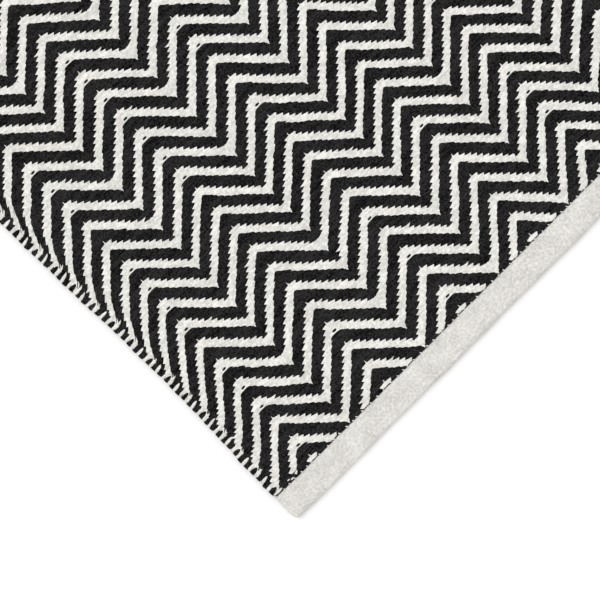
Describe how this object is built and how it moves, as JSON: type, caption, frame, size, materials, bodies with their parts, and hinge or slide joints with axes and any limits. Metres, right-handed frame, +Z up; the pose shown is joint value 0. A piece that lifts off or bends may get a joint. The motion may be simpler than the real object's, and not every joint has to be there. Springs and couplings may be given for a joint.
{
  "type": "kilim rug",
  "caption": "Flat-woven rug with a toothed zigzag pattern in black and off-white, woven selvedges and a plain canvas strip folded over each end.",
  "frame": {"origin": "under the middle of the rug, on the surface that it lies on", "axes": "+X along the wefts, across the rug; +Y along the warps, the rug's length; +Z up from the surface"},
  "size_m": [0.6, 0.9, 0.005],
  "materials": {
    "weft_yarn": "matte thick spun yarn, black with off-white zigzag lines",
    "canvas": "matte plain-weave cotton canvas, undyed"
  },
  "bodies": {
    "root": {"woven_field": "weft_yarn", "end_binding_near": "canvas", "end_binding_far": "canvas"}
  },
  "joints": []
}
